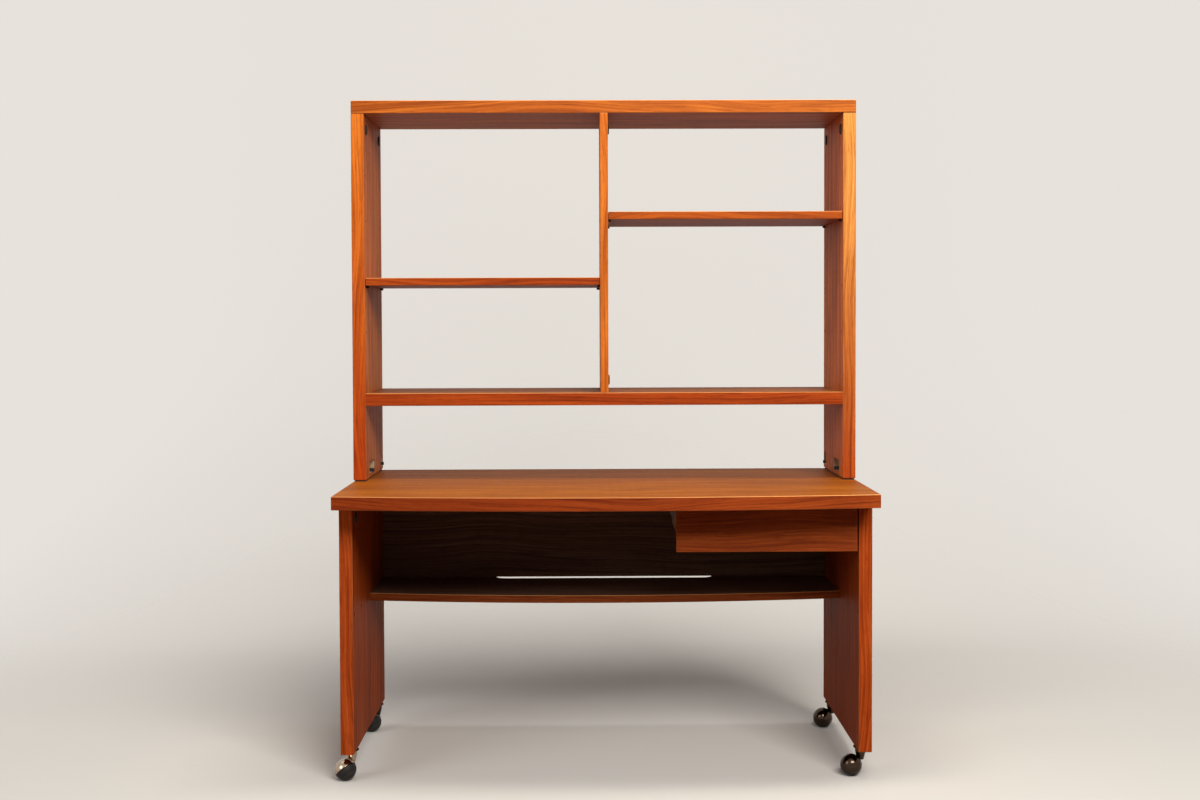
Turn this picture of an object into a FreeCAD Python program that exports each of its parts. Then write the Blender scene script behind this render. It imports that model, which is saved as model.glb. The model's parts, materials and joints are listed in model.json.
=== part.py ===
import FreeCAD, Part
import math
import os
import re
import Sketcher

# Desk with shelves: a writing desk on four ball casters with an open shelf unit standing on it.
# Frame: millimetres, +Z up, front towards -Y, origin on the floor under the middle of the desk.

SIZES = [
    # Desk
    ("desk_width", 1320, "width over the legs, the desktop and the shelf unit"),
    ("desk_height", 728, "floor to desktop"),
    ("desk_depth", 643, "desktop depth at its ends"),
    ("desk_bow", 43, "how far the middle of the desktop front stands out"),
    ("board_thick", 33, "thick boards: legs, desktop, shelf unit frame"),
    ("edge_ease", 1.2, "chamfer on every board edge"),
    ("leg_depth", 537, "legs, front to back"),
    ("leg_low", 72, "floor to underside of the legs"),
    ("thin_board", 20, "lower shelf, back panel and loose shelves"),
    ("lower_shelf_low", 405, "floor to underside of the lower shelf"),
    ("lower_shelf_depth", 262, "lower shelf depth at its ends"),
    ("lower_shelf_bow", 50, "how far the middle of the lower shelf stands out"),
    ("cable_gap_width", 610, "cable cut-out in the rear edge of the lower shelf"),
    ("cable_gap_depth", 46, "depth of the cable cut-out"),
    ("cable_gap_radius", 30, "inner corners of the cable cut-out"),
    ("panel_set_back", 4, "back panel behind the rear plane of the legs"),
    ("spare_hole_height", 419, "floor to the spare holes in the legs"),
    ("spare_hole_front", 24, "front spare hole from the leg front"),
    ("spare_hole_pitch", 109, "distance between the two spare holes"),
    ("spare_hole_radius", 4, "radius of the spare holes"),
    ("spare_hole_depth", 12, "depth of the spare holes"),
    # Drawer
    ("drawer_left", 174, "left edge of the drawer front"),
    ("drawer_right_gap", 4, "drawer front to right leg"),
    ("drawer_top_gap", 3, "drawer front to desktop"),
    ("drawer_front_height", 118, "height of the drawer front"),
    ("drawer_front_thick", 18, "thickness of the drawer front"),
    ("drawer_side_thick", 12, "thickness of drawer sides and back"),
    ("drawer_side_low", 16, "drawer sides above the lower edge of the front"),
    ("drawer_side_height", 90, "height of the drawer sides"),
    ("drawer_depth", 399, "drawer box behind its front"),
    ("drawer_bottom_thick", 4, "drawer bottom"),
    ("drawer_bottom_rise", 8, "drawer bottom above the lower edge of the sides"),
    ("groove_depth", 6, "groove for the drawer bottom"),
    ("runner_width", 12, "runner strip on each drawer side"),
    ("runner_height", 12, "height of the runner strip"),
    ("hanger_height", 55, "hanging channels under the desktop"),
    ("hanger_sheet", 1.5, "sheet of the hanging channels"),
    ("hanger_flange", 26, "upper flange, screwed to the desktop"),
    ("hanger_ledge", 11, "lower ledge that carries the runner"),
    ("hanger_outside", 1.5, "left channel outside the drawer front"),
    ("hanger_leg_gap", 5, "right channel to right leg"),
    ("hanger_set_back", 2, "channels behind the drawer front"),
    ("hanger_screw_first", 40, "first flange screw from the channel front"),
    ("hanger_screw_pitch", 155, "distance between flange screws"),
    ("hanger_screw_across", 15.6, "flange screws from the outer face of the web"),
    ("screw_radius", 1.5, "flange screw"),
    ("screw_grip", 14, "flange screw inside the desktop"),
    ("screw_head_radius", 4, "head of a flange screw"),
    ("screw_head_height", 1.5, "height of the screw head"),
    # Shelf unit
    ("full_height", 1724, "floor to the top of the shelf unit"),
    ("hutch_depth", 310, "shelf unit, front to back"),
    ("hutch_gap", 198.5, "desktop to the underside of the fixed shelf"),
    ("strip_thick", 3.5, "foot strip under each side"),
    ("strip_inset", 3, "foot strip inside the outline of the side"),
    ("divider_thick", 21, "upright divider"),
    ("shelf_depth", 295, "loose shelves, front to back"),
    ("shelf_set_back", 7, "loose shelves behind the front of the sides"),
    ("shelf_play", 1, "loose shelves to the uprights"),
    ("pin_near_height", 86, "height of the inner pin holes from the middle of the bays"),
    ("pin_far_height", 206, "height of the outer pin holes from the middle of the bays"),
    ("pin_inset", 25, "pin holes from the front and rear edges"),
    ("pin_radius", 2.5, "shelf pin"),
    ("pin_hole_depth", 9.5, "depth of a pin hole"),
    ("pin_reach", 8, "how far a pin stands out"),
    # Cam fittings and loose tongues
    ("cam_radius", 12.5, "cam housing in its bore"),
    ("cam_depth", 12.5, "depth of the cam housing"),
    ("cam_bolt_inset", 7, "bolt axis behind the face with the cam"),
    ("cap_radius", 14.5, "cover cap of a cam"),
    ("cap_top_radius", 11.5, "flat top of the cover cap"),
    ("cap_proud", 3.5, "how far the cover cap stands out"),
    ("cam_drop", 38.5, "cam axis to the board that it pulls"),
    ("leg_cam_inset", 48, "leg cams from the front and rear edges"),
    ("hutch_cam_inset", 40, "shelf unit cams from the front and rear edges"),
    ("divider_cam_rise", 32.5, "lower divider cams above the fixed shelf"),
    ("cam_bolt_radius", 3, "cam bolt"),
    ("cam_bolt_grip", 14, "cam bolt inside the pulled board"),
    ("tongue_long", 46, "loose tongue, long way"),
    ("tongue_wide", 20, "loose tongue, across the joint"),
    ("tongue_thick", 4, "loose tongue, thickness"),
    ("hutch_tongue_inset", 75, "tongues from the edges of the fixed shelf"),
    ("shelf_tongue_front", 190, "front tongue of the lower shelf from the rear plane"),
    ("shelf_tongue_rear", 100, "rear tongue of the lower shelf from the rear plane"),
    ("panel_tongue_inset", 65, "tongues from the ends of the back panel"),
    # Clamp bolts at the feet of the shelf unit
    ("pocket_low", 15, "floor of the foot pockets above the desktop"),
    ("pocket_height", 32, "height of the foot pockets"),
    ("pocket_depth", 17, "depth of the foot pockets"),
    ("front_pocket_back", 205, "middle of the front pocket from the rear plane"),
    ("front_pocket_width", 88, "width of the front pocket"),
    ("rear_pocket_back", 24, "middle of the rear pocket from the rear plane"),
    ("rear_pocket_width", 26, "width of the rear pocket"),
    ("pocket_radius", 10, "upper corners of the pockets"),
    ("clamp_inset", 4.5, "bolt axis behind the face of the side"),
    ("clamp_head_radius", 10.5, "ribbed bolt head"),
    ("clamp_head_height", 8, "height of the ribbed head"),
    ("clamp_shank_radius", 2.5, "shank of the clamp bolt"),
    ("clamp_grip", 22, "clamp bolt inside the desktop"),
    ("clamp_plate_thick", 1.5, "clamp plate on the pocket floor"),
    ("clamp_plate_wide", 22, "clamp plate along the side"),
    ("clamp_plate_deep", 14, "clamp plate into the side"),
    # Casters
    ("stem_inset", 19, "caster stem from the outer face of the leg"),
    ("stem_end_inset", 53, "caster stem from the front and rear edges"),
    ("stem_radius", 4, "caster stem"),
    ("stem_fit", 0.08, "radial play of the stem in its socket"),
    ("stem_rise", 42, "stem above the underside of the leg"),
    ("socket_radius", 6, "socket sleeve in the leg"),
    ("socket_rise", 48, "socket sleeve above the underside of the leg"),
    ("flange_radius", 18, "flange of the socket"),
    ("flange_thick", 2, "thickness of the flange"),
    ("turn_gap", 0.5, "caster neck under the flange"),
    ("ball_radius", 27.5, "ball of hood and wheel"),
    ("caster_trail", 25, "ball behind the stem"),
    ("hood_tilt", 48, "rise of the hood pole in degrees"),
    ("rim_gap", 1.6, "gap between hood and wheel"),
    ("ring_step", 22, "rings of the two domes in degrees"),
    ("pole_angle", 7, "last ring of the domes in degrees"),
    ("neck_radius", 13.5, "neck under the flange"),
    ("neck_low_radius", 8.5, "lower end of the neck"),
    ("neck_low", 40, "floor to the lower end of the neck"),
    ("neck_waist", 60, "floor to the start of the straight neck"),
    ("hood_wall", 2.4, "wall of the hood at its rim"),
    ("hood_room", 18, "depth of the room inside the hood"),
    ("hood_room_radius", 14, "narrow end of the room inside the hood"),
    ("axle_radius", 3, "wheel axle"),
    ("axle_fit", 0.05, "radial play of the wheel on its axle"),
    ("axle_hood_end", 23, "axle end in the hood from the ball middle"),
    ("axle_wheel_end", 21, "axle end in the wheel from the ball middle"),
    ("hub_radius", 8, "wheel hub inside the hood"),
    ("hub_reach", 15, "hub end from the ball middle"),
    ("front_left_turn", 120, "resting turn of the front left caster in degrees"),
    ("front_right_turn", 166, "resting turn of the front right caster in degrees"),
    ("rear_left_turn", 120, "resting turn of the rear left caster in degrees"),
    ("rear_right_turn", 175, "resting turn of the rear right caster in degrees"),
    # Fits
    ("fit", 0.15, "play of a fitted piece in its hole or groove"),
    ("ride_gap", 0.3, "play under the sliding runners"),
]

# Places that follow from the sizes.
DERIVED = {
    "half_width": "desk_width / 2",
    "rear": "(desk_depth + desk_bow) / 2",
    "leg_inner": "half_width - board_thick",
    "leg_front": "rear - leg_depth",
    "top_under": "desk_height - board_thick",
    "lower_shelf_top": "lower_shelf_low + thin_board",
    "hutch_front": "rear - hutch_depth",
    "hutch_foot": "desk_height + strip_thick",
    "fixed_shelf_low": "desk_height + hutch_gap",
    "bay_low": "fixed_shelf_low + board_thick",
    "bay_high": "full_height - board_thick",
    "bay_middle": "(bay_low + bay_high) / 2",
    "drawer_right": "leg_inner - drawer_right_gap",
    "drawer_front_low": "top_under - drawer_top_gap - drawer_front_height",
    "box_front": "leg_front + drawer_front_thick",
    "box_low": "drawer_front_low + drawer_side_low",
    "ledge_top": "top_under - hanger_height + hanger_sheet",
    "left_hanger": "drawer_left - hanger_outside",
    "right_hanger": "leg_inner - hanger_leg_gap",
    "left_runner": "left_hanger + hanger_sheet + 2 * hanger_outside / 3",
    "right_runner": "right_hanger - hanger_sheet - 2 * hanger_outside / 3",
    "left_side": "left_runner + runner_width",
    "right_side": "right_runner - runner_width",
    "hanger_front": "box_front + hanger_set_back",
    "hanger_length": "drawer_depth - hanger_set_back",
    "pocket_floor": "desk_height + pocket_low",
    "clamp_x": "leg_inner + clamp_inset",
    "stem_x": "half_width - stem_inset",
    "neck_top": "leg_low - flange_thick - turn_gap",
}

# Sides of few-sided solids: hidden bolts, small bores, caps and ribbed heads, flanges, domes.
# The domes have a multiple of four, so that one corner of the wheel stands exactly on the floor.
BOLT_SIDES = 6
PIN_SIDES = 6
BORE_SIDES = 10
CAP_SIDES = 16
FLANGE_SIDES = 20
DOME_SIDES = 24

HANGER_SCREWS = 3
SPARE_HOLES = 2

LEFT = -1
RIGHT = 1
QUARTER_TURN = 90
HALF_TURN = 180

doc = FreeCAD.newDocument("desk_with_shelves")
sheet = doc.addObject("Spreadsheet::Sheet", "Sizes")
for row, (alias, value, meaning) in enumerate(SIZES, start=1):
    sheet.set(f"A{row}", meaning)
    sheet.set(f"B{row}", str(value))
    sheet.setAlias(f"B{row}", alias)
doc.recompute()

NAMES = {entry[0] for entry in SIZES}
nodes = []


def size(alias):
    """One size of the sheet as a number."""
    return float(sheet.get(alias))


def expand(text):
    """A formula in plain words as an expression on the sheet."""

    def word(match):
        name = match.group()
        if name in DERIVED:
            return "(" + expand(DERIVED[name]) + ")"
        return "Sizes." + name if name in NAMES else name

    return re.sub(r"[a-z_]+", word, text)


def bind(obj, **formulas):
    """Tie properties of an object to formulas."""
    for name, text in formulas.items():
        obj.setExpression(name, expand(text))


def place(obj, x, y, z):
    """Tie the place of an object to formulas."""
    for axis, text in zip("xyz", (x, y, z)):
        obj.setExpression(f"Placement.Base.{axis}", expand(text))


def node(obj, label):
    """Keep an object as one named piece of the desk."""
    obj.Label = label
    nodes.append(obj)
    return obj


def box(name, x, y, z, length, width, height):
    """A plain block from its low corner."""
    obj = doc.addObject("Part::Box", name)
    bind(obj, Length=length, Width=width, Height=height)
    place(obj, x, y, z)
    return obj


def aim(obj, direction):
    """Turn an upright solid to one of the directions up, down, left or right."""
    turns = {
        "up": (FreeCAD.Vector(1, 0, 0), 0),
        "down": (FreeCAD.Vector(1, 0, 0), HALF_TURN),
        "left": (FreeCAD.Vector(0, -1, 0), QUARTER_TURN),
        "right": (FreeCAD.Vector(0, 1, 0), QUARTER_TURN),
    }
    axis, angle = turns[direction]
    obj.Placement = FreeCAD.Placement(FreeCAD.Vector(), FreeCAD.Rotation(axis, angle))


def prism(name, sides, radius, length, direction, x, y, z):
    """A few-sided rod or bore. The radius is that of the circle inside its flats."""
    obj = doc.addObject("Part::Prism", name)
    obj.Polygon = sides
    bind(obj, Circumradius=f"({radius}) / cos(180 / {sides})", Height=length)
    aim(obj, direction)
    place(obj, x, y, z)
    return obj


def rod(name, radius, length, direction, x, y, z):
    """A round rod or bore."""
    obj = doc.addObject("Part::Cylinder", name)
    bind(obj, Radius=radius, Height=length)
    aim(obj, direction)
    place(obj, x, y, z)
    return obj


def flat_face(points):
    """A flat face through its corners."""
    return Part.Face(Part.makePolygon(points + points[:1]))


def faceted(name, sides, rings):
    """An upright solid of flat faces through circles, each given by radius and height."""
    circles = []
    for radius, height in rings:
        turns = [2 * math.pi * i / sides for i in range(sides)]
        circles.append([FreeCAD.Vector(radius * math.cos(t), radius * math.sin(t), height) for t in turns])
    faces = [flat_face(circles[0]), flat_face(circles[-1])]
    for low, high in zip(circles, circles[1:]):
        for i in range(sides):
            j = (i + 1) % sides
            faces.append(flat_face([low[i], low[j], high[j], high[i]]))
    shell = Part.makeShell(faces)
    shell.sewShape()
    obj = doc.addObject("Part::Feature", name)
    obj.Shape = Part.makeSolid(shell)
    return obj


def fuse(name, members):
    """Several solids as one."""
    obj = doc.addObject("Part::MultiFuse", name)
    obj.Shapes = members
    return obj


def cut(name, base, tools):
    """A solid with every tool taken out of it."""
    obj = doc.addObject("Part::Cut", name)
    obj.Base = base
    obj.Tool = tools[0] if len(tools) == 1 else fuse(name + "_tools", tools)
    return obj


def group(label, members):
    """Like pieces that share one node."""
    obj = doc.addObject("Part::Compound", label)
    obj.Links = members
    return node(obj, label)


def sketch_on(body, name):
    """An empty sketch on the ground plane of a body."""
    sketch = body.newObject("Sketcher::SketchObject", name)
    planes = [item for item in body.Origin.OriginFeatures if item.Role == "XY_Plane"]
    sketch.AttachmentSupport = [(planes[0], "")]
    sketch.MapMode = "FlatFace"
    return sketch


def name_size(sketch, constraint, name, text):
    """Add a sketch dimension and tie it to a formula."""
    sketch.addConstraint(constraint)
    sketch.renameConstraint(sketch.ConstraintCount - 1, name)
    sketch.setExpression(f"Constraints.{name}", expand(text))


def draw_rectangle(sketch, length, width):
    """A rectangle from the sketch origin."""
    guess = size("board_thick")
    corners = [(0, 0), (guess, 0), (guess, guess), (0, guess)]
    points = [FreeCAD.Vector(x, y, 0) for x, y in corners]
    lines = [Part.LineSegment(points[i], points[(i + 1) % 4]) for i in range(4)]
    sketch.addGeometry(lines, False)
    links = [Sketcher.Constraint("Coincident", i, 2, (i + 1) % 4, 1) for i in range(4)]
    flats = [Sketcher.Constraint("Horizontal", i) for i in (0, 2)]
    uprights = [Sketcher.Constraint("Vertical", i) for i in (1, 3)]
    corner = [Sketcher.Constraint("Coincident", 0, 1, -1, 1)]
    sketch.addConstraint(links + flats + uprights + corner)
    name_size(sketch, Sketcher.Constraint("DistanceX", 0, 1, 0, 2, guess), "length", length)
    name_size(sketch, Sketcher.Constraint("DistanceY", 1, 1, 1, 2, guess), "width", width)


def draw_bowed(sketch, half, depth, bow, formulas):
    """A board outline whose front is an arc. The sketch origin is the middle of the rear edge."""
    left = FreeCAD.Vector(-half, -depth, 0)
    right = FreeCAD.Vector(half, -depth, 0)
    middle = FreeCAD.Vector(0, -depth - bow, 0)
    rear_left = FreeCAD.Vector(-half, 0, 0)
    rear_right = FreeCAD.Vector(half, 0, 0)
    sketch.addGeometry(
        [
            Part.LineSegment(rear_left, rear_right),
            Part.LineSegment(rear_right, right),
            Part.Arc(left, middle, right),
            Part.LineSegment(left, rear_left),
        ],
        False,
    )
    sketch.addConstraint(
        [
            Sketcher.Constraint("Symmetric", 0, 1, 0, 2, -1, 1),
            Sketcher.Constraint("Horizontal", 0),
            Sketcher.Constraint("Coincident", 0, 2, 1, 1),
            Sketcher.Constraint("Vertical", 1),
            Sketcher.Constraint("Coincident", 1, 2, 2, 2),
            Sketcher.Constraint("Coincident", 2, 1, 3, 1),
            Sketcher.Constraint("Coincident", 3, 2, 0, 1),
            Sketcher.Constraint("Vertical", 3),
            Sketcher.Constraint("Equal", 1, 3),
        ]
    )
    name_size(sketch, Sketcher.Constraint("DistanceX", 0, 1, 0, 2, 2 * half), "width", formulas[0])
    name_size(sketch, Sketcher.Constraint("DistanceY", 1, 2, 1, 1, depth), "depth", formulas[1])
    curve = (half * half + bow * bow) / (2 * bow)
    name_size(sketch, Sketcher.Constraint("Radius", 2, curve), "curve", formulas[2])


def raise_outline(body, sketch, name, height):
    """Raise a sketch to a plain board."""
    pad = body.newObject("PartDesign::Pad", name + "_pad")
    pad.Profile = sketch
    bind(pad, Length=height)
    doc.recompute()
    return pad


def ease_edges(body, feature, name):
    """Chamfer every edge of a board."""
    chamfer = body.newObject("PartDesign::Chamfer", name + "_ease")
    chamfer.Base = (feature, [f"Edge{i + 1}" for i in range(len(feature.Shape.Edges))])
    bind(chamfer, Size="edge_ease")
    body.Tip = chamfer
    return chamfer


def board(name, x, y, z, length, width, height):
    """A straight board with eased edges from its low corner."""
    body = doc.addObject("PartDesign::Body", name + "_board")
    sketch = sketch_on(body, name + "_outline")
    draw_rectangle(sketch, length, width)
    pad = raise_outline(body, sketch, name, height)
    ease_edges(body, pad, name)
    place(body, x, y, z)
    return body


def upright_edges(shape, least_y, inside):
    """Names of the upright edges in front of a line and within a half width."""
    found = []
    for index, edge in enumerate(shape.Edges, start=1):
        first, last = edge.Vertexes[0].Point, edge.Vertexes[-1].Point
        upright = abs(first.x - last.x) + abs(first.y - last.y) < size("fit")
        if upright and abs(first.x) < inside and first.y < least_y:
            found.append(f"Edge{index}")
    return found


def bowed_board(name, width, depth, bow, low, height, guess, gap=None):
    """A board with a bowed front and its rear edge on the rear plane."""
    body = doc.addObject("PartDesign::Body", name + "_board")
    sketch = sketch_on(body, name + "_outline")
    curve = f"(({width}) * ({width}) / 4 + {bow} * {bow}) / (2 * {bow})"
    draw_bowed(sketch, guess[0] / 2, guess[1], guess[2], (width, depth, curve))
    feature = raise_outline(body, sketch, name, height)
    if gap:
        feature = cable_gap(body, feature, name)
    ease_edges(body, feature, name)
    place(body, "0", "rear", low)
    return body


def cable_gap(body, pad, name):
    """The rounded cut-out in the rear edge of a bowed board."""
    sketch = sketch_on(body, name + "_gap_outline")
    half, depth = size("cable_gap_width") / 2, size("cable_gap_depth")
    corners = [(-half, depth), (half, depth), (half, -depth), (-half, -depth)]
    points = [FreeCAD.Vector(x, y, 0) for x, y in corners]
    sketch.addGeometry([Part.LineSegment(points[i], points[(i + 1) % 4]) for i in range(4)], False)
    links = [Sketcher.Constraint("Coincident", i, 2, (i + 1) % 4, 1) for i in range(4)]
    flats = [Sketcher.Constraint("Horizontal", i) for i in (0, 2)]
    uprights = [Sketcher.Constraint("Vertical", i) for i in (1, 3)]
    centred = [Sketcher.Constraint("Symmetric", 0, 1, 1, 2, -1, 1)]
    sketch.addConstraint(links + flats + uprights + centred)
    width = Sketcher.Constraint("DistanceX", 0, 1, 0, 2, 2 * half)
    name_size(sketch, width, "width", "cable_gap_width")
    reach = Sketcher.Constraint("DistanceY", 1, 2, 1, 1, 2 * depth)
    name_size(sketch, reach, "reach", "2 * cable_gap_depth")
    pocket = body.newObject("PartDesign::Pocket", name + "_gap")
    pocket.Profile = sketch
    pocket.Type = "ThroughAll"
    pocket.Midplane = True
    doc.recompute()
    fillet = body.newObject("PartDesign::Fillet", name + "_gap_round")
    fillet.Base = (pocket, upright_edges(pocket.Shape, -depth / 2, half + size("fit")))
    bind(fillet, Radius="cable_gap_radius")
    doc.recompute()
    return fillet


def rounded_pocket(name, side, back, width):
    """A foot pocket with rounded upper corners, as a tool."""
    block_x = "leg_inner - pocket_depth" if side == RIGHT else "-leg_inner - pocket_depth"
    body = doc.addObject("PartDesign::Body", name)
    sketch = sketch_on(body, name + "_outline")
    draw_rectangle(sketch, "2 * pocket_depth", width)
    pad = raise_outline(body, sketch, name, "pocket_height")
    shape = pad.Shape
    upper = []
    for index, edge in enumerate(shape.Edges, start=1):
        first, last = edge.Vertexes[0].Point, edge.Vertexes[-1].Point
        along = abs(first.y - last.y) + abs(first.z - last.z) < size("fit")
        if along and first.z > shape.BoundBox.Center.z:
            upper.append(f"Edge{index}")
    fillet = body.newObject("PartDesign::Fillet", name + "_round")
    fillet.Base = (pad, upper)
    bind(fillet, Radius="pocket_radius")
    body.Tip = fillet
    place(body, block_x, f"rear - {back} - {width} / 2", "pocket_floor")
    return body


def sign(side):
    """The side of the desk as the start of a formula."""
    return "-" if side == LEFT else ""


def outward(side):
    """Direction from the middle of the desk to one side."""
    return "left" if side == LEFT else "right"


def cam(name, face, side, y, z, pull):
    """A cam in a board face and the bolt that it pulls.

    The face is a formula, the side is where the housing goes in, and the pull is up or down.
    """
    other = outward(-side)
    way = "+" if pull == "up" else "-"
    axis = f"{face} {'+' if side == RIGHT else '-'} cam_bolt_inset"
    cap_rings = [(size("cap_radius"), 0), (size("cap_top_radius"), size("cap_proud"))]
    cap = faceted(name + "_cap", CAP_SIDES, cap_rings)
    aim(cap, other)
    place(cap, face, y, z)
    housing = prism(name + "_housing", BORE_SIDES, "cam_radius", "cam_depth", outward(side), face, y, z)
    reach = "cam_drop + cam_bolt_grip"
    if pull == "down":
        reach = "divider_cam_rise + cam_bolt_grip"
    start = f"{z} {way} cam_bolt_radius"
    bolt = prism(
        name + "_bolt", BOLT_SIDES, "cam_bolt_radius", f"{reach} - cam_bolt_radius", pull, axis, y, start
    )
    bore = prism(
        name + "_bolt_bore", BOLT_SIDES, "cam_bolt_radius + fit", f"{reach} + 2 * fit", pull, axis, y, z
    )
    pocket = prism(
        name + "_bore", BORE_SIDES, "cam_radius + fit", "cam_depth + fit", outward(side), face, y, z
    )
    fitting = cut(name, fuse(name + "_body", [cap, housing]), [bore])
    return {"fitting": fitting, "bolt": bolt, "bore": bore, "pocket": pocket}


def tongue(name, x, y, z, upright=False):
    """A loose tongue across a joint, from its middle, and the slot that takes it."""
    long_way = "tongue_long" if upright else "tongue_thick"
    flat_way = "tongue_thick" if upright else "tongue_long"
    spans = {"": "", "_slot": " + 2 * fit"}
    made = []
    for suffix, more in spans.items():
        wide, flat, tall = f"tongue_wide{more}", f"{flat_way}{more}", f"{long_way}{more}"
        low = [f"{middle} - ({span}) / 2" for middle, span in zip((x, y, z), (wide, flat, tall))]
        made.append(box(name + suffix, *low, wide, flat, tall))
    return {"piece": made[0], "slot": made[1]}


def clamp(name, side, back):
    """The clamp bolt at a foot of the shelf unit, its plate and its bore."""
    x, y = f"{sign(side)}(clamp_x)", f"rear - {back}"
    plate_top = "pocket_floor + clamp_plate_thick"
    head = prism(name + "_head", CAP_SIDES, "clamp_head_radius", "clamp_head_height", "up", x, y, plate_top)
    length = "clamp_plate_thick + pocket_low + clamp_grip"
    low = "desk_height - clamp_grip"
    shank = prism(name + "_shank", BOLT_SIDES, "clamp_shank_radius", length, "up", x, y, low)
    bore_length = f"{length} + 2 * fit"
    bore = prism(
        name + "_bore", BOLT_SIDES, "clamp_shank_radius + fit", bore_length, "up", x, y, f"{low} - fit"
    )
    aside = f"{sign(side)}(clamp_plate_deep / 2 - clamp_inset)"
    corner = f"{x} - clamp_plate_deep / 2 + {aside}"
    blank = box(
        name + "_plate_blank",
        corner,
        f"{y} - clamp_plate_wide / 2",
        "pocket_floor",
        "clamp_plate_deep",
        "clamp_plate_wide",
        "clamp_plate_thick",
    )
    bolt = fuse(name + "_bolt", [head, shank])
    return {"bolt": bolt, "plate": cut(name + "_plate", blank, [bore]), "bore": bore}


def on_axle(obj, hand, along, to_wheel=False):
    """Set a solid on the sloping axle of a caster, pointing to the hood or to the wheel."""
    turn = hand if to_wheel else -hand
    angle = "90 + hood_tilt" if to_wheel else "90 - hood_tilt"
    spin = FreeCAD.Rotation(FreeCAD.Vector(turn, 0, 0), QUARTER_TURN)
    obj.Placement = FreeCAD.Placement(FreeCAD.Vector(), spin)
    obj.setExpression("Placement.Rotation.Angle", expand(angle))
    place(
        obj,
        "caster_trail",
        f"{hand} * ({along}) * cos(hood_tilt)",
        f"ball_radius + ({along}) * sin(hood_tilt)",
    )
    return obj


def dome(name, hand, to_wheel):
    """One half of the ball. The second circle after the rim of the wheel is the one on the floor."""
    radius = size("ball_radius")
    contact = QUARTER_TURN - size("hood_tilt")
    step = size("ring_step")
    rim = math.degrees(math.acos(size("rim_gap") / 2 / radius))
    angles = [math.radians(a) for a in (rim, contact + step, contact, contact - step, size("pole_angle"))]
    rings = [(radius * math.sin(a), radius * math.cos(a)) for a in angles]
    return on_axle(faceted(name, DOME_SIDES, rings), hand, "0", to_wheel)


def axle_rod(name, hand, radius, start, length):
    """A round rod on the axle line, from a distance of the ball middle towards the hood."""
    obj = doc.addObject("Part::Cylinder", name)
    bind(obj, Radius=radius, Height=length)
    return on_axle(obj, hand, start)


def axle_prism(name, hand, radius, start, length):
    """A few-sided rod on the axle line. The radius is that of the circle inside its flats."""
    obj = doc.addObject("Part::Prism", name)
    obj.Polygon = BORE_SIDES
    bind(obj, Circumradius=f"({radius}) / cos(180 / {BORE_SIDES})", Height=length)
    return on_axle(obj, hand, start)


def turn_caster(obj, label, x, y, turn):
    """Stand a caster piece under its stem place at its resting turn."""
    spin = FreeCAD.Rotation(FreeCAD.Vector(0, 0, -1), size(turn))
    obj.Placement = FreeCAD.Placement(FreeCAD.Vector(), spin)
    obj.setExpression("Placement.Rotation.Angle", expand(turn))
    place(obj, x, y, "0")
    return node(obj, label)


def caster(name, hand, x, y, turn):
    """Hood with stem, axle and wheel of one ball caster. The ball trails along the local +X."""
    rim = size("rim_gap") / 2
    mouth = (size("ball_radius") - size("hood_wall"), rim)
    room = faceted(name + "_room", DOME_SIDES, [mouth, (size("hood_room_radius"), size("hood_room"))])
    on_axle(room, hand, "0")
    top = size("leg_low") - size("flange_thick") - size("turn_gap")
    waist, wide = size("neck_waist"), size("neck_radius")
    neck_rings = [(size("neck_low_radius"), size("neck_low")), (wide, waist), (wide, top)]
    neck = faceted(name + "_neck", CAP_SIDES, neck_rings)
    stem_length = "leg_low + stem_rise - neck_top"
    stem = rod(name + "_stem", "stem_radius", stem_length, "up", "0", "0", "neck_top")
    seat_start = "hood_room - axle_radius"
    seat_length = f"axle_hood_end + fit - ({seat_start})"
    seat = axle_prism(name + "_seat", hand, "axle_radius + axle_fit", seat_start, seat_length)
    shell = fuse(name + "_shell", [dome(name + "_hood_dome", hand, False), neck, stem])
    hood = cut(name + "_hood", shell, [room, seat])
    axle_length = "axle_wheel_end + axle_hood_end"
    axle = axle_rod(name + "_axle_rod", hand, "axle_radius", "-axle_wheel_end", axle_length)
    hub_length = "hub_reach + rim_gap / 2"
    hub = axle_prism(name + "_hub", hand, "hub_radius", "-rim_gap / 2", hub_length)
    bore_length = "hub_reach + axle_wheel_end + axle_radius"
    bore_start = "-axle_wheel_end - fit"
    bore = axle_rod(name + "_wheel_bore", hand, "axle_radius + axle_fit", bore_start, bore_length)
    tread = fuse(name + "_tread", [dome(name + "_wheel_dome", hand, True), hub])
    wheel = cut(name + "_wheel", tread, [bore])
    turn_caster(hood, name + "_hood", x, y, turn)
    turn_caster(axle_wrap(axle, name), name + "_axle", x, y, turn)
    turn_caster(wheel, name + "_wheel", x, y, turn)


def axle_wrap(axle, name):
    """The axle as a piece of its own that can turn with the caster."""
    holder = doc.addObject("Part::Compound", name + "_axle_piece")
    holder.Links = [axle]
    return holder


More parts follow.
